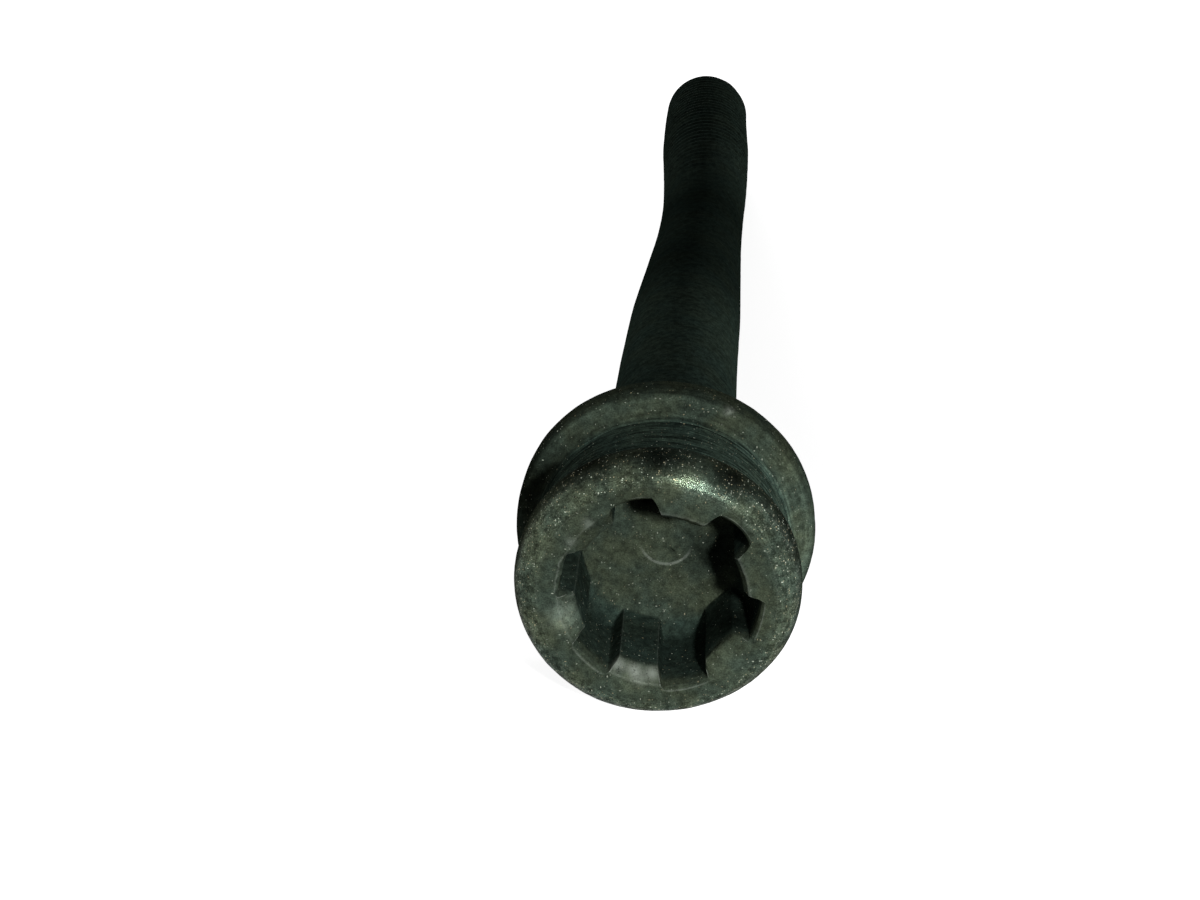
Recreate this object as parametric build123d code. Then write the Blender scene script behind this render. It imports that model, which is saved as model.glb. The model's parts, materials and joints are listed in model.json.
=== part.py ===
from build123d import *
import math
import os

# A cylinder head bolt, M12 x 1.75 by 150 mm under the head: one piece of steel, headed hot,
# turned, and thread-rolled. It has a cheese head on a thick collar, a six-rib socket in
# the head's face, a waisted shank and a thread end.
#
# Millimetres. The bolt is first modelled upright on its own axis: "height" runs along that
# axis from the flat face of the head (0) to the thread end. It is then laid down.

# Head, from the face to the collar
FACE_RADIUS = 8.9           # the face is flat out to here
RIM_RADIUS = 10.8           # the head is widest in a rim just behind its face
RIM_SLOPE = 12.0            # degrees by which the rim falls away at once from the flat face
RIM_HEIGHT = 3.3            # back edge of the rim
RIM_BACK_CHAMFER = 0.4
WALL_RADIUS = 9.85          # the head's wall, set back behind the rim
WALL_FILLET = 1.1           # hollow corner between wall and collar

# Collar, which carries the bearing face on its far side
COLLAR_RADIUS = 12.0
COLLAR_ROOT_HEIGHT = 10.7   # its top slopes a little, from here at the wall ...
COLLAR_TOP_HEIGHT = 11.5    # ... to here at the edge
COLLAR_TOP_ROUNDING = 0.8
BEARING_HEIGHT = 14.2       # the face that presses on the cylinder head
BEARING_ROUNDING = 0.7

# Shank and thread
GRIP_LENGTH = 150.0         # from bearing face to thread end
SHANK_RADIUS = 5.7
SHANK_FILLET = 0.9
SHANK_END = 64.0            # height where the full shank gives way to the waist
WAIST_RADIUS = 5.0
WAIST_START = 91.0
WAIST_END = 104.0
WAIST_BLEND = 420.0         # large radius that runs each taper into the waist
THREAD_RADIUS = 6.0         # outside of the M12 thread
THREAD_FULL = 138.0         # height from which the thread has its full outside diameter
END_CHAMFER = 2.0
END_HEIGHT = BEARING_HEIGHT + GRIP_LENGTH
SEAM_TURN = 4.3             # degrees; where the seam of the round surfaces lies, any value is true

# Six-rib socket
RIB_COUNT = 6
SOCKET_DEPTH = 9.2
RIB_INNER_RADIUS = 6.25     # what a round rod would just pass between the ribs
GROOVE_RADIUS = 7.55        # out to the bottoms of the grooves
GROOVE_WIDTH = 3.55         # grooves have parallel sides
PUNCH_ROUNDING = 2.2        # corner at the socket's floor, from the nose of the heading punch
LEAD_IN_RADIUS = 8.0        # a wide countersink guides the driver in ...
LEAD_IN_DEPTH = 0.9
BEVEL_RADIUS = 6.6          # ... and meets a steeper bevel on the ribs' ends here
BEVEL_DEPTH = 2.7
PUNCH_MARK_RADIUS = 1.9     # shallow round mark in the middle of the floor
PUNCH_MARK_DEPTH = 0.25
FIRST_GROOVE_TURN = 15.8    # degrees from straight up, anticlockwise, seen on the face


def turned_blank():
    """The solid bolt without its socket, turned from one half section."""
    rim_slope = math.radians(RIM_SLOPE)
    rim_width = RIM_RADIUS - FACE_RADIUS
    # One arc takes up nearly all of the sloping run, so that the rim is round from the face on.
    rim_rounding = 0.99 * rim_width / math.cos(rim_slope) / math.tan((math.pi / 2 - rim_slope) / 2)
    corners = [  # (radius, height, rounding)
        (FACE_RADIUS, 0, 0),
        (RIM_RADIUS, rim_width * math.tan(rim_slope), rim_rounding),
        (RIM_RADIUS, RIM_HEIGHT - RIM_BACK_CHAMFER, 0),
        (RIM_RADIUS - RIM_BACK_CHAMFER, RIM_HEIGHT, 0),
        (WALL_RADIUS, RIM_HEIGHT, 0),
        (WALL_RADIUS, COLLAR_ROOT_HEIGHT, WALL_FILLET),
        (COLLAR_RADIUS, COLLAR_TOP_HEIGHT, COLLAR_TOP_ROUNDING),
        (COLLAR_RADIUS, BEARING_HEIGHT, BEARING_ROUNDING),
        (SHANK_RADIUS, BEARING_HEIGHT, SHANK_FILLET),
        (SHANK_RADIUS, SHANK_END, 0),
        (WAIST_RADIUS, WAIST_START, WAIST_BLEND),
        (WAIST_RADIUS, WAIST_END, WAIST_BLEND),
        (THREAD_RADIUS, THREAD_FULL, 0),
        (THREAD_RADIUS, END_HEIGHT - END_CHAMFER, 0),
        (THREAD_RADIUS - END_CHAMFER, END_HEIGHT, 0),
    ]
    face_centre, end_centre = (0, 0), (0, END_HEIGHT)
    outline = FilletPolyline(
        face_centre,
        *[(radius, height) for radius, height, _ in corners],
        end_centre,
        radius=[rounding for _, _, rounding in corners],
    )
    half_section = make_face([*outline.edges(), Line(end_centre, face_centre)])
    return Rot(0, 0, SEAM_TURN) * revolve(Plane.XZ * half_section, Axis.Z)


def socket_cutter():
    """The space of the six-rib socket: a star of grooves, rounded off at the floor, with a
    bevelled mouth and the punch mark under its floor."""
    groove = Pos(0, GROOVE_RADIUS / 2) * Rectangle(GROOVE_WIDTH, GROOVE_RADIUS * 1.2)
    star = Circle(RIB_INNER_RADIUS) + [
        Rot(0, 0, index * 360 / RIB_COUNT) * groove for index in range(RIB_COUNT)
    ]
    star = star & Circle(GROOVE_RADIUS)

    punch_nose = Cylinder(
        GROOVE_RADIUS, SOCKET_DEPTH, align=(Align.CENTER, Align.CENTER, Align.MIN)
    )
    punch_nose = fillet(punch_nose.edges().sort_by(Axis.Z)[-1], PUNCH_ROUNDING)
    cutter = extrude(star, SOCKET_DEPTH) & punch_nose

    mouth = revolve(
        Plane.XZ
        * make_face(
            Polyline(
                (0, 0),
                (LEAD_IN_RADIUS, 0),
                (BEVEL_RADIUS, LEAD_IN_DEPTH),
                (RIB_INNER_RADIUS, BEVEL_DEPTH),
                (0, BEVEL_DEPTH),
                close=True,
            )
        ),
        Axis.Z,
    )
    ball_radius = (PUNCH_MARK_RADIUS**2 + PUNCH_MARK_DEPTH**2) / (2 * PUNCH_MARK_DEPTH)
    punch_mark = Pos(0, 0, SOCKET_DEPTH + PUNCH_MARK_DEPTH - ball_radius) * Sphere(ball_radius)
    below_floor = Pos(0, 0, SOCKET_DEPTH - 1) * Cylinder(
        PUNCH_MARK_RADIUS + 1, 3, align=(Align.CENTER, Align.CENTER, Align.MIN)
    )
    return cutter + mouth + (punch_mark & below_floor)


def droop():
    """Angle, in degrees, by which the lying bolt's axis falls towards its thinner end: the
    surface touches the collar's rounded edge and the outermost corner of the thread end."""
    along = END_HEIGHT - END_CHAMFER - (BEARING_HEIGHT - BEARING_ROUNDING)
    across = COLLAR_RADIUS - BEARING_ROUNDING - THREAD_RADIUS
    reach = math.hypot(along, across)
    return math.degrees(math.atan2(across, along) + math.asin(BEARING_ROUNDING / reach))


def laid_down(bolt):
    """The bolt as it comes to rest on a flat surface: head towards -Y, thread end towards
    +Y, lowest points on height zero and the middle of its box over the origin."""
    lying = Rot(-90 - droop(), 0, 0) * bolt
    box = lying.bounding_box()
    middle = box.center()
    return Pos(-middle.X, -middle.Y, -box.min.Z) * lying


def head_bolt():
    # Upright, local -Y is the side that ends on top once the bolt is laid down.
    socket = Rot(0, 0, 180 - FIRST_GROOVE_TURN) * socket_cutter()
    return laid_down(turned_blank() - socket)


os.makedirs("parts", exist_ok=True)
export_step(head_bolt(), "parts/head_bolt.step")
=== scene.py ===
import json
import math

import bmesh
import bpy
import numpy as np
from mathutils import Matrix, Vector, noise


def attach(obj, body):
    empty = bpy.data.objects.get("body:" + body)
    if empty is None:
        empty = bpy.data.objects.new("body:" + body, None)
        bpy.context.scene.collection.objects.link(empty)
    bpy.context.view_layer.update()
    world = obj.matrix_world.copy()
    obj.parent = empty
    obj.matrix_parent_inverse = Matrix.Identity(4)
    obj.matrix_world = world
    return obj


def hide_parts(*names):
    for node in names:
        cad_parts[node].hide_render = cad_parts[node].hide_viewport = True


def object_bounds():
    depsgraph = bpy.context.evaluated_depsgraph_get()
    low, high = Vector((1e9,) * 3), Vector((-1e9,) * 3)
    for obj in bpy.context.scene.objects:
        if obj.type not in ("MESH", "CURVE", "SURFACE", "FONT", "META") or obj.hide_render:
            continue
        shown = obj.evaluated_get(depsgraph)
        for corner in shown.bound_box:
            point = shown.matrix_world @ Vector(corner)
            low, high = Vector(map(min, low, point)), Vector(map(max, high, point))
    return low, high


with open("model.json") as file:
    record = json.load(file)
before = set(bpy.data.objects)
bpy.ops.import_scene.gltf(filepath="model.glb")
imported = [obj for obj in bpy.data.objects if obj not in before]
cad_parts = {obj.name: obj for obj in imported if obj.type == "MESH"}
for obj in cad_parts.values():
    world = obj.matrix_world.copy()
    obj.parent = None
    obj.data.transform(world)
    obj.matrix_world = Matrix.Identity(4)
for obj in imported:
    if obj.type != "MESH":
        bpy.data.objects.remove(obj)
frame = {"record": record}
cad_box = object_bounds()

# --- Head bolt -----------------------------------------------------------------------------
# A cylinder head bolt: one piece of alloy steel, headed hot, turned and thread-rolled, then
# phosphated black. It has been in an engine, so its socket is battered and its rim is worn.
# It lies on its collar and on the end of its thread.

# Sizes are in millimetres along the bolt's own axis: X to the right and Y down as seen on the
# face of the head, and "height" from that face towards the thread.
MM = 0.001
mounts = {mount["name"]: mount for mount in frame["record"]["mounts"]}
face_centre = Vector(mounts["drive_socket"]["pos_m"])
along = -Vector(mounts["drive_socket"]["axis"])
across = Vector((1, 0, 0))
bolt_axes = Matrix((across, along.cross(across), along)).transposed()
bolt_place = Matrix.Translation(face_centre) @ bolt_axes.to_4x4() @ Matrix.Scale(MM, 4)

# Six-rib socket, punched into the face.
RIBS = 6
SOCKET_DEPTH = 9.2
RIB_RADIUS = 6.25
GROOVE_RADIUS = 7.5
GROOVE_WIDTH = 3.55
PUNCH_ROUNDING = 2.2
COUNTERSINK = [(0, 0.32), (0.3, 0.08), (0.9, 0)]         # (height, radius cut off a groove)
FIRST_GROOVE = math.radians(-90 - 15.8)
MOUTH_SHIFT = Vector((0.25, 0.0))                        # the punch went in askew

# Wear of the ribs, clockwise from the top: how far each stands in from the nominal radius, how
# much of its end is worn back, how deep that wear goes, and how far its edges are rounded over.
RIB_STANDS_IN = [0.15, 0.15, 0.1, 0.0, 0.0, 0.0]
RIB_END_WORN = [0.6, 0.45, 1.75, 1.05, 1.3, 1.4]
RIB_WORN_DEPTH = [0.8, 0.8, 0.55, 1.1, 1.1, 1.1]
RIB_ROUNDED = [0.3, 0.3, 1.0, 0.2, 0.6, 0.6]
ROUNDED_OVER = 8                                         # columns to each side
ROUNDED_WITHIN = RIB_RADIUS + 0.7                        # leaves the grooves alone

# The grooves at the mouth, clockwise from the topmost: how far each is cut out in its middle,
# and by how many degrees it is turned. Both fade out with depth.
GROOVE_CUT_OUT = [0.35, 0.5, -0.1, 0.0, 0.0, -0.1]
CUT_OUT_DEPTH = 5.0
GROOVE_TURNED = [0.5, -0.6, -1.8, 0.3, 0.0, -3.1]

# Columns of the skin round the head. In the socket they crowd on the flanks of the grooves, and
# on the outside they stand evenly. Each list of turns starts in the middle of a groove.
GROOVE_STEPS, FLANK_STEPS, RIB_STEPS = 9, 12, 9
sector = math.tau / RIBS
groove_edge = math.asin(GROOVE_WIDTH / 2 / GROOVE_RADIUS)
rib_edge = math.asin(GROOVE_WIDTH / 2 / (RIB_RADIUS - max(RIB_STANDS_IN)))
half_sector = np.concatenate([
    np.linspace(0, groove_edge, GROOVE_STEPS, endpoint=False),
    np.linspace(groove_edge, rib_edge, FLANK_STEPS, endpoint=False),
    np.linspace(rib_edge, sector / 2, RIB_STEPS, endpoint=False),
])
one_sector = np.concatenate([half_sector, [sector / 2], sector - half_sector[:0:-1]])
socket_turns = np.concatenate([FIRST_GROOVE + i * sector + one_sector for i in range(RIBS)])
HEAD_COLUMNS = len(socket_turns)
head_turns = FIRST_GROOVE + np.arange(HEAD_COLUMNS) * math.tau / HEAD_COLUMNS

# The same, column by column, and how far each column is from the middle of its groove.
COLUMNS_PER_RIB = HEAD_COLUMNS // RIBS
stands_in = np.repeat(RIB_STANDS_IN, COLUMNS_PER_RIB)
end_worn = np.repeat(RIB_END_WORN, COLUMNS_PER_RIB)
worn_depth = np.repeat(RIB_WORN_DEPTH, COLUMNS_PER_RIB)
rounded_over = np.repeat(RIB_ROUNDED, COLUMNS_PER_RIB)
cut_out = np.roll(np.repeat(GROOVE_CUT_OUT, COLUMNS_PER_RIB), -COLUMNS_PER_RIB // 2)
from_groove = np.tile(np.minimum(one_sector, sector - one_sector), RIBS)
arched = np.clip(1 - (from_groove / groove_edge) ** 2, 0, 1) ** 0.4
turned = np.radians(np.interp(np.arange(HEAD_COLUMNS) / COLUMNS_PER_RIB, np.arange(RIBS + 1),
                              [*GROOVE_TURNED, GROOVE_TURNED[0]]))


def ring(radii, height, turns):
    """One ring of the skin, as rows of X, Y and height."""
    return np.stack([radii * np.cos(turns), radii * np.sin(turns),
                     np.full(turns.shape, float(height))], axis=1)


def socket_ring(height):
    """The wall of the socket at one height."""
    # The end of a rib is worn to a bevel, with a faint run-out below it.
    deep = height / worn_depth
    worn_share = np.maximum(1 - 0.94 * deep, np.clip(0.09 - 0.03 * deep, 0, None))
    rib = RIB_RADIUS - stands_in + end_worn * worn_share
    groove = (GROOVE_RADIUS + np.interp(height, *zip(*COUNTERSINK))
              + cut_out * max(0.0, 1 - height / CUT_OUT_DEPTH) * arched)
    flank = GROOVE_WIDTH / 2 / np.sin(np.maximum(from_groove, 0.01))
    radii = np.clip(flank, np.minimum(rib, groove), groove)

    beside = range(-ROUNDED_OVER, ROUNDED_OVER + 1)
    softened = sum(np.roll(radii, step) for step in beside) / len(beside)
    radii += (softened - radii) * rounded_over * (radii < ROUNDED_WITHIN)
    over = height - (SOCKET_DEPTH - PUNCH_ROUNDING)
    if over > 0:
        nose = GROOVE_RADIUS - PUNCH_ROUNDING + math.sqrt(max(0.0, PUNCH_ROUNDING**2 - over**2))
        radii = np.minimum(radii, nose)

    to_mouth = 1 - height / SOCKET_DEPTH
    rows = ring(radii, height, socket_turns + turned * to_mouth)
    rows[:, :2] += MOUTH_SHIFT * to_mouth
    return rows


# Rings up the socket from its floor: round the nose of the punch, up the wall, and then closer
# and closer over the ends of the ribs.
NOSE_RINGS, WALL_RINGS, END_RINGS = 12, 20, 20
END_DEPTH = 2.5
nose_turns = np.linspace(0, math.pi / 2, NOSE_RINGS)
nose_heights = SOCKET_DEPTH - PUNCH_ROUNDING * (1 - np.cos(nose_turns))
wall_heights = np.linspace(SOCKET_DEPTH - PUNCH_ROUNDING, END_DEPTH, WALL_RINGS)[1:]
end_heights = END_DEPTH * np.linspace(1, 0, END_RINGS)[1:] ** 1.3
rings = [socket_ring(height) for height in (*nose_heights, *wall_heights, *end_heights)]


# Outside of the head: a round rim with a faint step where it leaves the flat face, a wall set
# back behind it, and a thick collar.
FACE_RADIUS = 8.9
RIM_RADIUS = 10.8
RIM_HEIGHT = 3.3
WALL_RADIUS = 9.85
COLLAR_RADIUS = 11.98
COLLAR_ROOT_HEIGHT = 10.7
COLLAR_TOP_HEIGHT = 11.5
BEARING_HEIGHT = 14.2
HEAD_CORNERS = [                                         # (radius, height, rounding)
    (FACE_RADIUS, 0, 0.12),
    (RIM_RADIUS, 0.404, 2.3),
    (RIM_RADIUS, RIM_HEIGHT, 0.45),
    (WALL_RADIUS, RIM_HEIGHT, 0.12),
    (WALL_RADIUS, COLLAR_ROOT_HEIGHT, 1.1),
    (COLLAR_RADIUS, COLLAR_TOP_HEIGHT, 0.8),
    (COLLAR_RADIUS, BEARING_HEIGHT, 0.7),
]
HEAD_STEPS = (0.28, 0.13)                                # between rings, on the flat and on arcs
FACE_RINGS = 8
HEAD_GRID_END = 10.9          # on the bearing face the skin goes over to fewer columns ...
SHANK_GRID_START = 10.2       # ... between these radii


def rounded_run(start, corners, end, flat_step, arc_step):
    """Points (radius, height) from start to end, turned at each corner on its own arc."""
    points = [Vector(start)]

    def run_to(point):
        begin = points[-1]
        pieces = max(1, round((point - begin).length / flat_step))
        points.extend(begin.lerp(point, i / pieces) for i in range(1, pieces + 1))

    stations = [Vector(start), *[Vector(corner[:2]) for corner in corners], Vector(end)]
    for before, here, after, corner in zip(stations, stations[1:], stations[2:], corners):
        rounding = corner[2]
        into, out = (here - before).normalized(), (after - here).normalized()
        turn = into.angle(out)
        start_of_arc = here - into * rounding * math.tan(turn / 2)
        run_to(start_of_arc)
        centre = here + (out - into).normalized() * rounding / math.cos(turn / 2)
        side = math.copysign(1, into.x * out.y - into.y * out.x)
        steps = max(2, round(turn * rounding / arc_step))
        for i in range(1, steps + 1):
            spin = Matrix.Rotation(side * turn * i / steps, 2)
            points.append(centre + spin @ (start_of_arc - centre))
    run_to(stations[-1])
    return points


mouth = rings[-1]
flat_edge = FACE_RADIUS - 0.1
flat_face = ring(flat_edge, 0, head_turns)
for share in np.linspace(0, 1, FACE_RINGS + 1)[1:]:
    rings.append(mouth + (flat_face - mouth) * share)
outside_run = rounded_run((flat_edge, 0), HEAD_CORNERS, (HEAD_GRID_END, BEARING_HEIGHT), *HEAD_STEPS)
rings += [ring(point.x, point.y, head_turns) for point in outside_run[1:]]
head = np.array(rings)

# The head wasn't upset quite round: the rim is shy below and the collar at the left, given as
# (where it is worst, in degrees clockwise from the right; how wide; first and last height; by
# how much).
SHY = [
    (72, 42, 0.2, RIM_HEIGHT, 0.36),
    (185, 35, COLLAR_ROOT_HEIGHT, BEARING_HEIGHT, 0.2),
]
for worst, width, first, last, amount in SHY:
    turns = np.degrees(np.arctan2(head[..., 1], head[..., 0]))
    off = (turns - worst + 180) % 360 - 180
    share = np.exp(-(off / width)**2) * np.clip((head[..., 2] - first) * 2, 0, 1)
    share *= (head[..., 2] <= last) * (np.hypot(head[..., 0], head[..., 1]) > FACE_RADIUS)
    head[..., :2] *= 1 - (share * amount / COLLAR_RADIUS)[..., None]

# Shank and thread. The shank is waisted, so that it stretches evenly when it is tightened.
# The M12 thread is rolled on: its crests grow out of the taper and run into the end's bevel.
END_HEIGHT = 164.2
END_CHAMFER = 2.0
SHANK_RADIUS = 5.7
WAIST_RADIUS = 5.0
WAIST_BLEND = 420
THREAD_RADIUS = 6.0
PITCH = 1.75
THREAD_START = 108.0
THREAD_END = END_HEIGHT - 0.15
THREAD_DEPTH = 0.6134 * PITCH
THREAD_RUN_IN = 3 * PITCH
THREAD_FORM = [                                          # (share of a pitch, share of the depth)
    (0, 0), (0.0625, 0), (0.125, 0.1), (0.405, 1), (0.51, 1.04), (0.615, 1), (0.895, 0.1),
    (0.9375, 0)]
SHANK_CORNERS = [                                        # (radius, height, rounding)
    (SHANK_RADIUS, BEARING_HEIGHT, 0.9),
    (SHANK_RADIUS, 64, WAIST_BLEND / 2),
    (WAIST_RADIUS, 91, WAIST_BLEND),
    (WAIST_RADIUS, 104, WAIST_BLEND),
    (THREAD_RADIUS, 138, WAIST_BLEND / 2),
    (THREAD_RADIUS, END_HEIGHT - END_CHAMFER, 0.3),
    (THREAD_RADIUS - END_CHAMFER, END_HEIGHT, 0.4),
]
SHANK_STEPS = (1.2, 0.2)
COARSER = 4                                              # head columns to one on the shank
SHANK_COLUMNS = HEAD_COLUMNS // COARSER
shank_turns = head_turns[::COARSER]
bearing_start, end_middle = (SHANK_GRID_START, BEARING_HEIGHT), (0.5, END_HEIGHT)
shank_run = rounded_run(bearing_start, SHANK_CORNERS, end_middle, *SHANK_STEPS)
blank_radii, blank_heights = np.array(shank_run).T
shank = np.array([ring(p.x, p.y, shank_turns) for p in shank_run if p.y < THREAD_START])
end = np.array([ring(p.x, p.y, shank_turns) for p in shank_run if p.y > THREAD_END])


def thread_rings():
    """The thread as rings that climb with its helix, from a flat start to a flat end, where
    the rings are held at the thread's first and last height."""
    pitches = math.ceil((THREAD_END - THREAD_START) / PITCH) + 1
    shares, depths = np.array(THREAD_FORM).T
    shares = np.concatenate([i - 1 + shares for i in range(pitches)])
    climb = np.arange(SHANK_COLUMNS) / SHANK_COLUMNS
    heights = THREAD_START + PITCH * (shares[:, None] + climb)
    heights = np.clip(heights, THREAD_START, THREAD_END)
    run_in = np.clip((heights - THREAD_START) / THREAD_RUN_IN, 0, 1)
    blank = np.interp(heights, blank_heights, blank_radii)
    cut = THREAD_RADIUS - THREAD_DEPTH * np.tile(depths, pitches)[:, None]
    radii = np.minimum(blank, blank + (cut - blank) * run_in)
    return np.stack([radii * np.cos(shank_turns), radii * np.sin(shank_turns), heights], axis=2)


thread = thread_rings()
FLOOR_RINGS = 24
floor_radii = np.linspace(0.3, GROOVE_RADIUS - PUNCH_ROUNDING - 0.3, FLOOR_RINGS)
socket_floor = np.array([ring(radius, SOCKET_DEPTH, shank_turns) for radius in floor_radii])

# The skin: the grids joined into one closed mesh.
points, faces = [], []


def add_grid(grid, climb=0):
    """Adds rings joined round the bolt, and gives their point numbers. The seam climbs by
    that many rings."""
    count, columns, _ = grid.shape
    numbers = len(points) + np.arange(count * columns).reshape(count, columns)
    points.extend(grid.reshape(-1, 3))
    for j in range(columns):
        beside = (j + 1) % columns
        step = climb if beside == 0 else 0
        for k in range(count - 1 - step):
            faces.append((numbers[k, j], numbers[k + 1, j],
                          numbers[k + 1 + step, beside], numbers[k + step, beside]))
    return numbers


def join_rings(fine, coarse):
    """Joins a ring to one with as many points or fewer."""
    ratio = len(fine) // len(coarse)
    for j in range(len(coarse)):
        run = [fine[(j * ratio + i) % len(fine)] for i in range(ratio + 1)]
        faces.append((*run[::-1], coarse[j], coarse[(j + 1) % len(coarse)]))


def close_ring(numbers, height):
    """Closes a small ring with a fan round a point on the axis."""
    points.append(np.array((0, 0, height), float))
    for j in range(len(numbers)):
        faces.append((len(points) - 1, numbers[j], numbers[(j + 1) % len(numbers)]))


head_numbers = add_grid(head)
floor_numbers = add_grid(socket_floor)
join_rings(head_numbers[0], floor_numbers[-1])
close_ring(floor_numbers[0], SOCKET_DEPTH)
shank_numbers = add_grid(shank)
join_rings(head_numbers[-1], shank_numbers[0])
thread_numbers = add_grid(thread, climb=len(THREAD_FORM))
join_rings(shank_numbers[-1], thread_numbers[0])
end_numbers = add_grid(end)
join_rings(thread_numbers[-1], end_numbers[0])
close_ring(end_numbers[-1], END_HEIGHT)

mesh = bpy.data.meshes.new("bolt_skin")
mesh.from_pydata([tuple(point) for point in points], [],
                 [tuple(int(number) for number in face) for face in faces])
skin = bmesh.new()
skin.from_mesh(mesh)
bmesh.ops.remove_doubles(skin, verts=skin.verts, dist=1e-4)
bmesh.ops.recalc_face_normals(skin, faces=skin.faces)


def in_socket(spot):
    """Whether a place is inside the socket or on the flat face round its mouth."""
    return spot.z < SOCKET_DEPTH + 1 and math.hypot(spot.x, spot.y) < FACE_RADIUS - 0.4


# Edges of the socket, softened a little by averaging each point with its neighbours.
wall_points = [vert for vert in skin.verts if in_socket(vert.co) and vert.co.z < 8.5]
for _ in range(2):
    bmesh.ops.smooth_vert(skin, verts=wall_points, factor=0.5,
                          use_axis_x=True, use_axis_y=True, use_axis_z=True)

# Four marks for the finish, point by point: its place on the new bolt, how light its colour is there
# next to the flat face, how much of it has been rubbed off down to steel, with painted highlights
# and kept painted shadows laid into the same mark, and where the lamp's highlight on the rim is
# painted and made glossy.
place = skin.verts.layers.float_vector.new("bolt_place")
tone = skin.verts.layers.float.new("tone")
rubbed_and_painted_light = skin.verts.layers.float.new("rubbed_and_painted_light")
highlight_spot = skin.verts.layers.float.new("highlight_spot")

# How light the colour is, by height: (height, factor). Down the socket's walls it is darker than on
# the face and the floor.
SOCKET_TONE = [(0, 1), (0.9, 0.95), (1.6, 0.62), (6.5, 0.52), (8.8, 0.8), (9.15, 1.05)]
OUTSIDE_TONE = [
    # On the rim it darkens away from the face, as painted shade where the rim turns from the lamp.
    (0, 1), (0.6, 0.95), (1.2, 0.55), (3.2, 0.35), (3.4, 0.5),                  # rim
    (10.2, 0.62), (10.8, 1.0), (11.15, 1.0), (11.25, 1.45), (11.35, 1.2),       # wall, collar
    (11.5, 0.55), (12.5, 0.4), (14.2, 0.35),
    (16, 0.08), (30, 0.17), (60, 0.3), (96, 0.14), (120, 0.38), (164.2, 0.42),  # shank, thread
]
# Patches in which it is darker or lighter than that: painted shadows and painted light where so
# marked, and patches of the finish's own colour.
PAINTED_LIGHT_AND_PATCHES = [                             # (radius, turn in degrees, height), reach, factor
    ((7.5, -103, 1.6), 1.5, 0.2),      # painted shadow in the topmost groove
    ((4.1, 253, 9.2), 1.15, 0.02),     # painted shadow on the floor under the topmost groove
    ((3.9, 268, 9.2), 0.6, 0.2),
    ((10.9, -120, 2.2), 2.4, 0.35),    # painted shade on the upper side of the rim, where it turns from the lamp
    ((10.7, -90, 1.2), 2.0, 0.15),
    ((10.7, -60, 1.2), 1.9, 0.15),
    ((10.9, -30, 2.4), 2.6, 0.45),
    ((6.3, 47, 5.2), 3.2, 0.6),        # painted shadow on the rib at the lower right and its upper flank
    ((6.9, 29, 3.2), 1.7, 0.25),
    ((11.2, 200, 11.2), 5.0, 0.25),    # painted shadow on the left side of the collar
    ((11.2, 10, 11.2), 5.0, 1.9),      # painted light on the right side of the collar, towards the lamp
    ((11.2, -30, 11.2), 4.0, 1.35),
    ((5.7, -65, 36), 10.0, 1.9),       # a grey bloom on the shank
    ((5.7, -25, 50), 10.0, 1.8),
    ((5.7, -10, 24), 8.0, 1.6),
    ((5.7, -120, 70), 9.0, 0.6),       # and a dark patch next to it
    ((7.2, 163, 0.3), 1.0, 2.7),       # painted light on the end of the rib at the left, which faces the lamp
    ((7.4, 104, 0.4), 1.2, 1.5),       # painted highlight on the end of the lowest rib
    ((7.6, 44, 0.2), 1.1, 1.6),        # end of the rib at the lower right
    ((3.9, 5, 9.2), 2.4, 0.3),         # painted shade on the right side of the floor, next to the shadow
]
# Where it has been rubbed bare, or, with a minus, where the finish has stayed on. Some spots lay
# painted highlights on as bare steel, and some minus spots keep painted shadows dark.
RUBBED_AND_PAINTED_LIGHT = [                             # (radius, turn in degrees, height), reach, strength
    ((6.7, 92, 0.65), 0.5, 0.9),       # end of the lowest rib: worn, and painted lighter as its highlight
    ((6.7, 104, 0.65), 0.5, 1.0),
    ((6.7, 115, 0.65), 0.5, 0.9),
    ((7.1, 100, 0.3), 0.5, 0.5),
    ((7.2, 165, 0.4), 1.0, 0.3),       # painted light on the end of the rib at the left
    ((7.7, -116, 0.1), 0.4, 0.4),      # painted highlight along the mouth, left of the topmost groove
    ((7.7, -131, 0.1), 0.4, 0.35),
    ((7.6, -146, 0.1), 0.4, 0.3),
    ((11.6, -65, 11.3), 0.35, 0.7),    # chip in the collar
    ((7.6, -117, 0.1), 0.7, -1.0),     # edge of the topmost groove
    ((8.0, -109, 0.1), 0.7, -1.0),
    ((6.4, 30, 3.0), 2.4, -1.0),       # flanks of the rib at the lower right, kept dark for its painted shadow
    ((6.4, 60, 4.0), 1.2, -1.0),
]
# Spots on the top of the rim where the lamp's highlight falls: made glossy and metallic, and painted
# lighter as painted highlight.
HIGHLIGHT_SPOTS = [                           # (radius, turn in degrees, height), reach, strength
    ((9.45, -70, 0.3), 1.0, 1.0),
    ((9.45, -79, 0.3), 1.0, 1.0),
    ((9.45, -89, 0.3), 0.9, 0.6),
    ((9.45, -59, 0.3), 0.9, 0.8),
    ((9.5, -51, 0.3), 0.8, 0.4),
]


def at_turn(radius, turn, height):
    """A place by its radius, its turn in degrees clockwise from the right, and its height."""
    turn = math.radians(turn)
    return Vector((radius * math.cos(turn), radius * math.sin(turn), height))


def points_near(centre, reach):
    """The skin's points round a place, each with a share that fades from 1 at the place."""
    for vert in skin.verts:
        distance = (vert.co - centre).length_squared / reach**2
        if distance < 6:
            yield vert, math.exp(-distance)


def bulge(vert):
    """How convex the skin is at a point, as one over the radius of its curve."""
    curves = [(vert.co - edge.other_vert(vert).co).dot(vert.normal) / edge.calc_length()**2
              for edge in vert.link_edges]
    return 2 * sum(curves) / len(curves)


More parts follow.
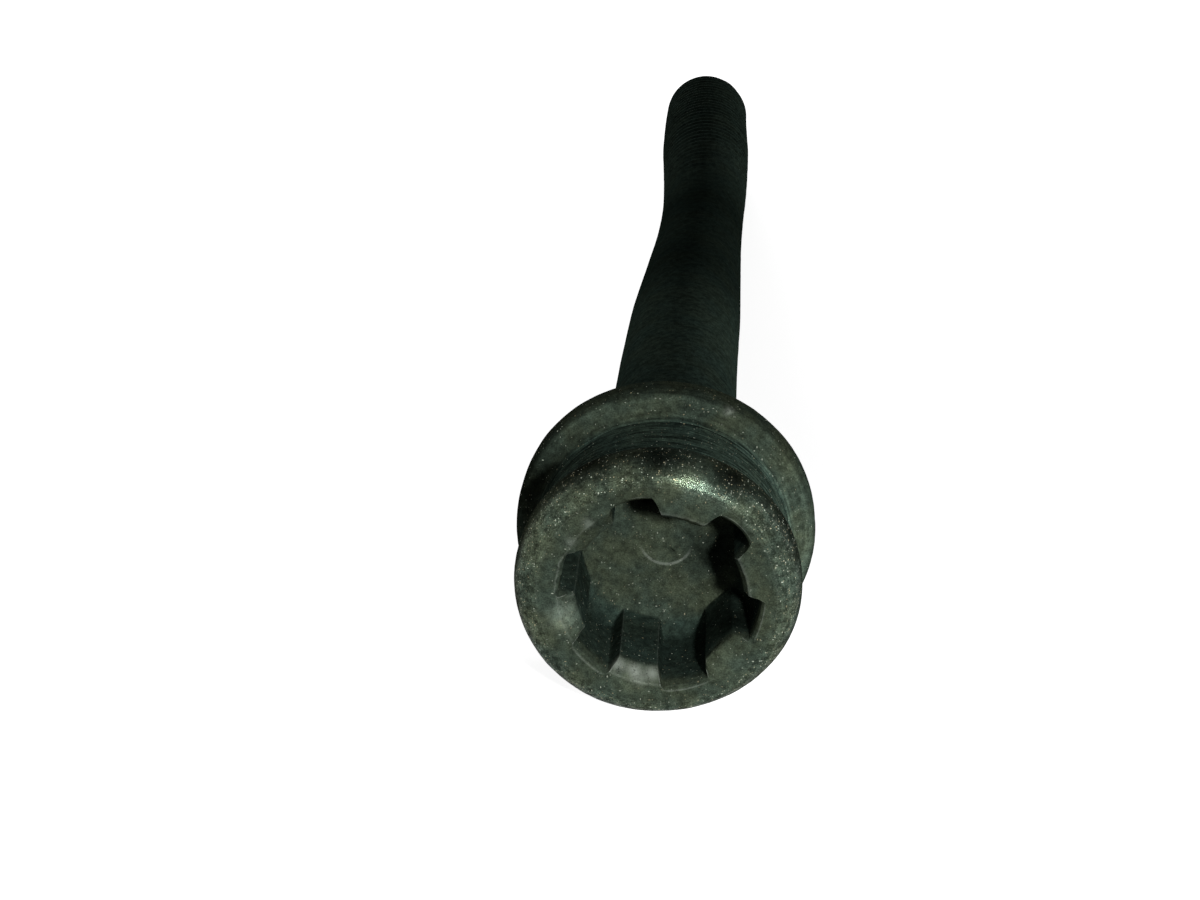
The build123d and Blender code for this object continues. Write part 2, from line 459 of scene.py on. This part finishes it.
# The finish wears off convex edges first. It has lasted better deep in the socket and at the
# edge of the flat face, and almost wholly on the shank and thread.
skin.normal_update()
for vert in skin.verts:
    vert[place] = vert.co
    tones = SOCKET_TONE if in_socket(vert.co) else OUTSIDE_TONE
    vert[tone] = np.interp(vert.co.z, *zip(*tones))
    vert[rubbed_and_painted_light] = min(0.8, max(0.0, 0.16 * bulge(vert) - 0.12))
    if abs(math.hypot(vert.co.x, vert.co.y) - FACE_RADIUS) < 0.4 and vert.co.z < 1:
        vert[rubbed_and_painted_light] *= 0.3
    if in_socket(vert.co):
        vert[rubbed_and_painted_light] *= max(0.2, 1 - 0.5 * vert.co.z)
    elif vert.co.z > BEARING_HEIGHT:
        vert[rubbed_and_painted_light] *= 0.04
for spot, reach, factor in PAINTED_LIGHT_AND_PATCHES:
    for vert, share in points_near(at_turn(*spot), reach):
        vert[tone] *= 1 + (factor - 1) * share
for layer, spots in ((rubbed_and_painted_light, RUBBED_AND_PAINTED_LIGHT), (highlight_spot, HIGHLIGHT_SPOTS)):
    for spot, reach, strength in spots:
        for vert, share in points_near(at_turn(*spot), reach):
            vert[layer] = min(1.0, max(0.0, vert[layer] + strength * share))

# A nick, pimples and chips, each pushed into or out of the skin round its own centre.
KNOCKS = [            # (radius, turn in degrees, height), reach, push (outwards, round, along)
    ((9.9, -62, 0.4), 0.5, (0.0, 0.0, 0.12)),          # nick in the rim
    ((0.46, -145, 9.2), 0.45, (0.0, 0.0, -0.12)),      # two pimples beside the punch's mark
    ((1.05, 18, 9.2), 0.4, (0.0, 0.0, -0.12)),
    ((11.7, -67, 11.3), 0.35, (-0.2, 0.1, 0.25)),      # chips in the edge of the collar
    ((11.2, -63, 11.1), 0.35, (0.0, -0.1, 0.18)),
]
for spot, reach, (outwards, sideways, along_axis) in KNOCKS:
    centre = at_turn(*spot)
    out = Vector((centre.x, centre.y, 0)).normalized()
    push = out * outwards + Vector((-out.y, out.x, 0)) * sideways
    push.z = along_axis
    for vert, share in points_near(centre, reach):
        vert.co += push * share

# Where drivers have slipped, the metal is battered.
BATTERING_SEED = 2                     # unset, the noise would differ from run to run
BATTERED = [                           # (radius, turn in degrees, height), reach, how far
    ((7.1, 44, 0.5), 1.3, 0.16),
    ((6.7, -68, 0.3), 0.9, 0.12),
    ((6.6, -54, 0.3), 0.7, 0.14),
    ((7.2, 104, 0.2), 1.2, 0.06),
    ((7.2, 164, 0.3), 1.5, 0.08),
    ((7.6, -20, 0.2), 0.9, 0.08),
    ((7.3, 194, 0.4), 1.2, 0.14),
]
noise.seed_set(BATTERING_SEED)
for spot, reach, how_far in BATTERED:
    for vert, share in points_near(at_turn(*spot), reach):
        push = noise.noise_vector(vert[place] * 1.9) + 0.5 * noise.noise_vector(vert[place] * 4.3)
        vert.co += push * how_far * share

# The round mark that the punch's centre left in the floor of the socket.
PUNCH_MARK = Vector((0.3, -0.35, SOCKET_DEPTH))
PUNCH_MARK_RADIUS = 2.0
PUNCH_MARK_DEPTH = 0.16
for vert in skin.verts:
    away = (vert.co - PUNCH_MARK).length / PUNCH_MARK_RADIUS
    if abs(vert.co.z - SOCKET_DEPTH) < 0.1:
        vert.co.z += PUNCH_MARK_DEPTH / (1 + away**16)

# The shank is bent a little: (height, how far its middle lies to the right).
BEND = [(14.2, 0.0), (46, -0.3), (108, 0.48), (164.2, -0.55)]


def bend(height):
    """How far the bolt's middle lies to the right at one height."""
    for (start, first), (stop, last) in zip(BEND, BEND[1:]):
        if start <= height <= stop:
            share = (height - start) / (stop - start)
            return first + (last - first) * share * share * (3 - 2 * share)
    return 0.0


for vert in skin.verts:
    vert.co.x += bend(vert.co.z)

# Unevenness of the forged and worn surface, along the normals. The skin is sunk a little on
# the whole, so that it stays within the new bolt's size.
SUNK = 0.01
skin.normal_update()
moves = []
for vert in skin.verts:
    spot = vert[place]
    rough = 0.02 * noise.noise(spot * 0.35) + 0.012 * noise.noise(spot * 1.1)
    if spot.z < BEARING_HEIGHT:
        rough += 0.008 * noise.noise(spot * 3.1)
    moves.append(vert.normal * (rough - SUNK))
for vert, move in zip(skin.verts, moves):
    vert.co += move
skin.transform(bolt_place)
skin.to_mesh(mesh)
skin.free()
mesh.shade_smooth()
mesh.set_sharp_from_angle(angle=math.radians(40))
bolt = bpy.data.objects.new("bolt_skin", mesh)
bpy.context.scene.collection.objects.link(bolt)
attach(bolt, "root")
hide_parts("head_bolt")

# Finish: black phosphate with old oil in it, clouded and speckled, rubbed down to bare steel
# on the edges. All its patterns are laid out in millimetres on the new bolt.
steel = bpy.data.materials.new("black_steel")


def empty_tree(owner):
    """The node tree of a material or a world, with nothing in it."""
    owner.use_nodes = True
    owner.node_tree.nodes.clear()
    return owner.node_tree


def node(kind, inputs=None, **settings):
    """Adds a node to the tree in hand. An input is another node's output, or a plain value."""
    made = tree.nodes.new("ShaderNode" + kind)
    for name, setting in settings.items():
        setattr(made, name, setting)
    for name, value in (inputs or {}).items():
        if isinstance(value, bpy.types.NodeSocket):
            tree.links.new(value, made.inputs[name])
        else:
            made.inputs[name].default_value = value
    return made


def calc(operation, first, second=0.0, clamp=False):
    return node("Math", {0: first, 1: second}, operation=operation, use_clamp=clamp).outputs[0]


def product(first, *others):
    for other in others:
        first = calc("MULTIPLY", first, other)
    return first


def largest(first, *others):
    for other in others:
        first = calc("MAXIMUM", first, other)
    return first


def spread(value, low, high, to_low=0.0, to_high=1.0):
    """Spreads the values from low to high over another range, and holds the rest at its ends."""
    limits = {"Value": value, "From Min": low, "From Max": high,
              "To Min": to_low, "To Max": to_high}
    return node("MapRange", limits, interpolation_type="SMOOTHSTEP").outputs["Result"]


def clouds(where, per_mm, detail=2.0, roughness=0.55):
    """Soft noise between 0 and 1, with so many features to a millimetre."""
    settings = {"Vector": where, "Scale": per_mm, "Detail": detail, "Roughness": roughness}
    return node("TexNoise", settings).outputs["Fac"]


def blend(share, first, second):
    """A colour between two. A Mix node takes its colours in sockets 6 and 7, and gives 2."""
    return node("Mix", {0: share, 6: first, 7: second}, data_type="RGBA").outputs[2]


def scaled(colour, factor):
    return node("VectorMath", {0: colour, 3: factor}, operation="SCALE").outputs[0]


tree = empty_tree(steel)
where = node("Attribute", attribute_name="bolt_place").outputs["Vector"]
lightness = node("Attribute", attribute_name="tone").outputs["Fac"]
bare_and_painted_light = node("Attribute", attribute_name="rubbed_and_painted_light").outputs["Fac"]
highlight_spots = node("Attribute", attribute_name="highlight_spot").outputs["Fac"]
to_right, down, height_there = node("SeparateXYZ", {0: where}).outputs
radius_there = calc("SQRT", calc("ADD", calc("POWER", to_right, 2.0), calc("POWER", down, 2.0)))
cosine = calc("DIVIDE", to_right, radius_there)
sine = calc("DIVIDE", down, radius_there)

# Marks of the lathe run round the bolt, so they are drawn out that way.
around = node("CombineXYZ", {0: cosine, 1: sine, 2: product(height_there, 3.0)}).outputs[0]
lathe_marks = clouds(around, 2.2, 5.0, 0.7)
cloud = clouds(where, 0.3, 3.0)
mottle = clouds(where, 1.7, 4.0, 0.6)
grain = clouds(where, 9.0, 2.0, 0.6)

# Places on the bolt, as masks.
socket_wall = product(spread(radius_there, 8.6, 8.0), spread(height_there, 0.8, 2.0),
                      spread(height_there, SOCKET_DEPTH - 0.1, SOCKET_DEPTH - 0.6))
off_face = spread(radius_there, FACE_RADIUS - 0.3, FACE_RADIUS + 0.3)
on_wall = product(off_face, spread(height_there, RIM_HEIGHT - 0.1, RIM_HEIGHT + 0.2),
                  spread(height_there, COLLAR_ROOT_HEIGHT + 0.3, COLLAR_ROOT_HEIGHT - 0.5))
outside = largest(off_face, spread(height_there, 12.0, 14.0))
past_face = spread(radius_there, FACE_RADIUS - 0.3, FACE_RADIUS + 0.5)
on_rim = product(past_face, spread(height_there, RIM_HEIGHT - 0.1, RIM_HEIGHT - 0.7))
on_head = spread(height_there, 16.0, 13.0)
on_shank = spread(height_there, 12.0, 20.0)

# The phosphate is olive on the face, the rim and the collar, where dust has settled, and bluer
# on the walls and the shank.
OLIVE_BLACK = (0.056, 0.070, 0.045, 1)
GREEN_BLACK = (0.047, 0.066, 0.049, 1)
TEAL_BLACK = (0.036, 0.068, 0.058, 1)
colour = blend(spread(cloud, 0.35, 0.65), OLIVE_BLACK, GREEN_BLACK)
clean = largest(socket_wall, on_wall, on_shank)
colour = blend(product(clean, 0.5), colour, TEAL_BLACK)
uneven = product(spread(mottle, 0.25, 0.75, 0.6, 1.4), spread(grain, 0.25, 0.75, 0.65, 1.35))
turned_marks = product(outside, spread(lathe_marks, 0.3, 0.7, -0.25, 0.25))
turned_marks = product(turned_marks, calc("ADD", 1.0, product(on_wall, 3.2)))
uneven = product(uneven, calc("ADD", 1.0, turned_marks))
colour = scaled(colour, product(uneven, lightness))


def specks(per_mm, size, share, stretch):
    """A mask of small specks in a share of the cells of a pattern, and a number for each."""
    laid = node("VectorMath", {0: where, 1: stretch}, operation="MULTIPLY").outputs[0]
    cells = node("TexVoronoi", {"Vector": laid, "Scale": per_mm})
    has_speck, how_big, kind = node("SeparateColor", {0: cells.outputs["Color"]}).outputs
    chosen = calc("LESS_THAN", has_speck, share)
    inside = calc("SUBTRACT", product(how_big, size), cells.outputs["Distance"])
    return product(chosen, spread(inside, 0.0, 0.06)), kind


def sprinkled(colour, mask, kind, first, second):
    """The colour with specks on it, some of the first colour and some of the second."""
    return blend(mask, colour, blend(spread(kind, 0.55, 0.75), first, second))


# Specks on the head: bare metal and dried salts a tenth or two of a millimetre across, and
# brassy flakes that cling to the rim.
SALT = (0.62, 0.68, 0.55, 1)
BRASS = (0.45, 0.40, 0.25, 1)
dust, dust_kind = specks(6.5, 0.34, 0.12, (1, 1, 1))
colour = sprinkled(colour, product(dust, on_head, 0.35), dust_kind, SALT, BRASS)
in_patches = product(on_head, spread(cloud, 0.38, 0.6, 0.25, 1.0))
for stretch in ((1, 2, 1.5), (2, 1, 1.5)):
    pale, pale_kind = specks(2.2, 0.24, 0.34, stretch)
    colour = sprinkled(colour, product(pale, in_patches, 0.65), pale_kind, SALT, BRASS)
flake, flake_kind = specks(6.5, 0.42, 0.4, (1, 1.3, 1))
flake = product(flake, on_rim, spread(mottle, 0.4, 0.6))
colour = sprinkled(colour, product(flake, 0.6), flake_kind, BRASS, SALT)

# Scratches that run over the rim, where it has been knocked against things.
SCRATCHED = (0.30, 0.31, 0.24, 1)
over_rim = node("CombineXYZ", {0: product(cosine, 30), 1: product(sine, 30),
                               2: product(calc("ADD", radius_there, height_there), 0.7)})
scratch = spread(clouds(over_rim.outputs[0], 1.3, 2.0, 0.7), 0.62, 0.72)
scratch = product(scratch, on_rim, spread(mottle, 0.4, 0.6, 0.2, 1.0))
colour = blend(product(scratch, 0.4), colour, SCRATCHED)

# A painted highlight along the lower side of the punch mark's edge, laid on as bare steel.
from_mark = node("VectorMath", {0: where, 1: tuple(PUNCH_MARK)}, operation="SUBTRACT").outputs[0]
from_centre = node("VectorMath", {0: from_mark}, operation="LENGTH").outputs["Value"]
from_edge = calc("ABSOLUTE", calc("SUBTRACT", from_centre, PUNCH_MARK_RADIUS + 0.05))
below = node("SeparateXYZ", {0: from_mark}).outputs[1]
punch_mark_highlight = product(spread(from_edge, 0.16, 0.03), spread(below, 0.3, 1.8))
bare_and_painted_light = largest(bare_and_painted_light, product(punch_mark_highlight, 0.45))

# Bare steel where the finish is rubbed through, broken up by the grain. The same colour lays on the
# painted highlights on the rib ends, the socket's mouth and the punch mark.
BARE_STEEL_AND_PAINTED_LIGHT = (0.33, 0.37, 0.32, 1)
worn_and_painted_light = product(bare_and_painted_light, spread(calc("ADD", mottle, product(grain, 0.8)), 0.5, 0.95))
colour = blend(product(worn_and_painted_light, 0.8), colour, BARE_STEEL_AND_PAINTED_LIGHT)

# The rim is burnished: still dark, but it shines like metal, in grains. On the highlight spots it is
# also painted lighter, as painted highlight.
shine_and_painted_highlight = product(past_face, spread(height_there, 1.8, 0.9))
shine_and_painted_highlight = product(shine_and_painted_highlight, spread(calc("ADD", grain, mottle), 0.75, 1.15, 0.05, 0.45))
shine_and_painted_highlight = largest(shine_and_painted_highlight, product(highlight_spots, spread(grain, 0.3, 0.6, 0.6, 1.0)))
colour = scaled(colour, calc("ADD", 1.0, product(shine_and_painted_highlight, 0.9)))
metal = largest(product(worn_and_painted_light, 0.35), product(flake, 0.3), product(shine_and_painted_highlight, 0.9))
smooth = product(largest(product(worn_and_painted_light, 0.5), shine_and_painted_highlight), 0.40)
roughness = calc("SUBTRACT", spread(mottle, 0.2, 0.8, 0.54, 0.72), smooth)

# Mottle, grain and lathe marks stand in low relief, most of all on the rim.
relief = calc("ADD", product(mottle, 0.5), product(grain, 0.35))
relief = calc("ADD", relief, product(outside, lathe_marks, 0.3))
relief = product(relief, calc("ADD", 1.0, product(on_rim, 1.2)))
bump = node("Bump", {"Height": relief, "Strength": 1.0, "Distance": 0.04 * MM})

# A highlight is drawn out along the turned rim.
along_rim = node("Tangent", direction_type="RADIAL", axis="Y").outputs[0]
shader = node("BsdfPrincipled", {
    "Base Color": colour, "Metallic": metal, "Roughness": roughness,
    "Normal": bump.outputs["Normal"], "Tangent": along_rim, "Anisotropic": 0.7,
    "Specular IOR Level": 0.0})
node("OutputMaterial", {"Surface": shader.outputs[0]})
mesh.materials.append(steel)

# --- Floor ---------------------------------------------------------------------------------
# A plain white table top. It glows in the view and in reflections, so that it shows white,
# and takes the bolt's shadow. As a source of light it is grey, and throws little back up.
FLOOR_SIZE = 3.0
GLOW_NEAR, GLOW_FAR = 0.8, 1.0         # lower round the bolt, so that its shadow shows
NEAR, FAR = 0.07, 0.16                 # metres from the middle
FLOOR_GREY = (0.25, 0.25, 0.25, 1)
WHITE = (1, 1, 1, 1)
half_floor = FLOOR_SIZE / 2
floor_mesh = bpy.data.meshes.new("floor")
floor_mesh.from_pydata([(-half_floor, -half_floor, 0), (half_floor, -half_floor, 0),
                        (half_floor, half_floor, 0), (-half_floor, half_floor, 0)],
                       [], [(0, 1, 2, 3)])
table = bpy.data.objects.new("floor", floor_mesh)
bpy.context.scene.collection.objects.link(table)


def looked_at():
    """1 for what the camera and reflections see, and 0 for light that falls on the bolt."""
    rays = node("LightPath").outputs
    seen = calc("ADD", rays["Is Camera Ray"], rays["Is Glossy Ray"])
    return calc("ADD", seen, rays["Is Transmission Ray"], clamp=True)


white = bpy.data.materials.new("floor_white")
tree = empty_tree(white)
from_middle = node("VectorMath", {0: node("NewGeometry").outputs["Position"]}, operation="LENGTH")
strength = spread(from_middle.outputs["Value"], NEAR, FAR, GLOW_NEAR, GLOW_FAR)
glow = node("Emission", {"Strength": strength})
lit = node("BsdfDiffuse", {"Color": WHITE})
glowing = node("AddShader", {0: glow.outputs[0], 1: lit.outputs[0]})
plain = node("BsdfDiffuse", {"Color": FLOOR_GREY})
mixed = node("MixShader", {0: looked_at(), 1: plain.outputs[0], 2: glowing.outputs[0]})
node("OutputMaterial", {"Surface": mixed.outputs[0]})
floor_mesh.materials.append(white)

# --- Camera --------------------------------------------------------------------------------
# It looks down on the head from in front, a hand's length away, and a little from the right,
# so that the shank runs up and slightly to the right behind the head.
LENS, SENSOR = 57, 36
SHANK_TO_RIGHT = 0.0782                # how far the shank runs to the right for its length
LOOKS_DOWN = math.radians(24.82)
EYE = (-4.134, 10.891, 139.94)         # from the head's face: right, up and back, in millimetres
fall = math.asin(-along.z)
yaw = math.asin(SHANK_TO_RIGHT / math.cos(fall))
right = Vector((math.cos(yaw), math.sin(yaw), 0))
level = Vector((-math.sin(yaw), math.cos(yaw), 0))
forward = level * math.cos(LOOKS_DOWN) - Vector((0, 0, math.sin(LOOKS_DOWN)))
up = right.cross(forward)
camera_data = bpy.data.cameras.new("camera")
camera_data.lens = LENS
camera_data.sensor_width = SENSOR
camera_data.clip_start = 0.01
camera = bpy.data.objects.new("camera", camera_data)
bpy.context.scene.collection.objects.link(camera)
position = face_centre + (right * EYE[0] + up * EYE[1] - forward * EYE[2]) * MM
facing = Matrix((right, up, -forward)).transposed().to_4x4()
camera.matrix_world = Matrix.Translation(position) @ facing
bpy.context.scene.camera = camera

# --- Lights --------------------------------------------------------------------------------
# One small lamp before the head, above it and to the right, throws hard shadows into the
# socket. Its beam leaves most of the shank dim. Three broad lamps level with the bolt show its
# flanks and its far end. The room is white to look at and in reflections, but dim as a light.
KEY_PLACE = Vector((0.32, -0.48, -1)) * 140              # in the bolt's own millimetres
KEY_AIM = Vector((-2.5, 4, 0))
KEY_POWER = 0.92
KEY_SIZE = 6.5 * MM
KEY_BEAM = math.radians(17)
SIDE_LAMPS = [("left", 168, 0.7), ("right", 12, 1.6), ("behind", 97, 2.2)]   # azimuth, power
SIDE_ELEVATION = math.radians(3)
SIDE_DISTANCE = 0.5
SIDE_SIZE = 0.08
ROOM_LIGHT, ROOM_SEEN = 0.15, 1.0


def add_lamp(name, kind, power, place, towards):
    """Adds a lamp at one place, turned so that it shines along a direction."""
    lamp_data = bpy.data.lights.new(name, kind)
    lamp_data.energy = power
    lamp = bpy.data.objects.new(name, lamp_data)
    bpy.context.scene.collection.objects.link(lamp)
    lamp.location = place
    lamp.rotation_euler = towards.to_track_quat("-Z", "Y").to_euler()
    return lamp_data


key_place = bolt_place @ KEY_PLACE
key = add_lamp("key", "SPOT", KEY_POWER, key_place, bolt_place @ KEY_AIM - key_place)
key.shadow_soft_size = KEY_SIZE
key.spot_size = KEY_BEAM
key.spot_blend = 0.5

middle = (Vector(cad_box[0]) + Vector(cad_box[1])) / 2
for name, azimuth, power in SIDE_LAMPS:
    azimuth = math.radians(azimuth)
    out_to_lamp = Vector((math.cos(azimuth) * math.cos(SIDE_ELEVATION),
                          math.sin(azimuth) * math.cos(SIDE_ELEVATION), math.sin(SIDE_ELEVATION)))
    lamp = add_lamp(name, "AREA", power, middle + out_to_lamp * SIDE_DISTANCE, -out_to_lamp)
    lamp.shape = "DISK"
    lamp.size = SIDE_SIZE

world = bpy.data.worlds.new("world")
bpy.context.scene.world = world
tree = empty_tree(world)
brightness = spread(looked_at(), 0.0, 1.0, ROOM_LIGHT, ROOM_SEEN)
room = node("Background", {"Color": WHITE, "Strength": brightness})
node("OutputWorld", {"Surface": room.outputs[0]})
bpy.context.scene.view_settings.view_transform = "Standard"
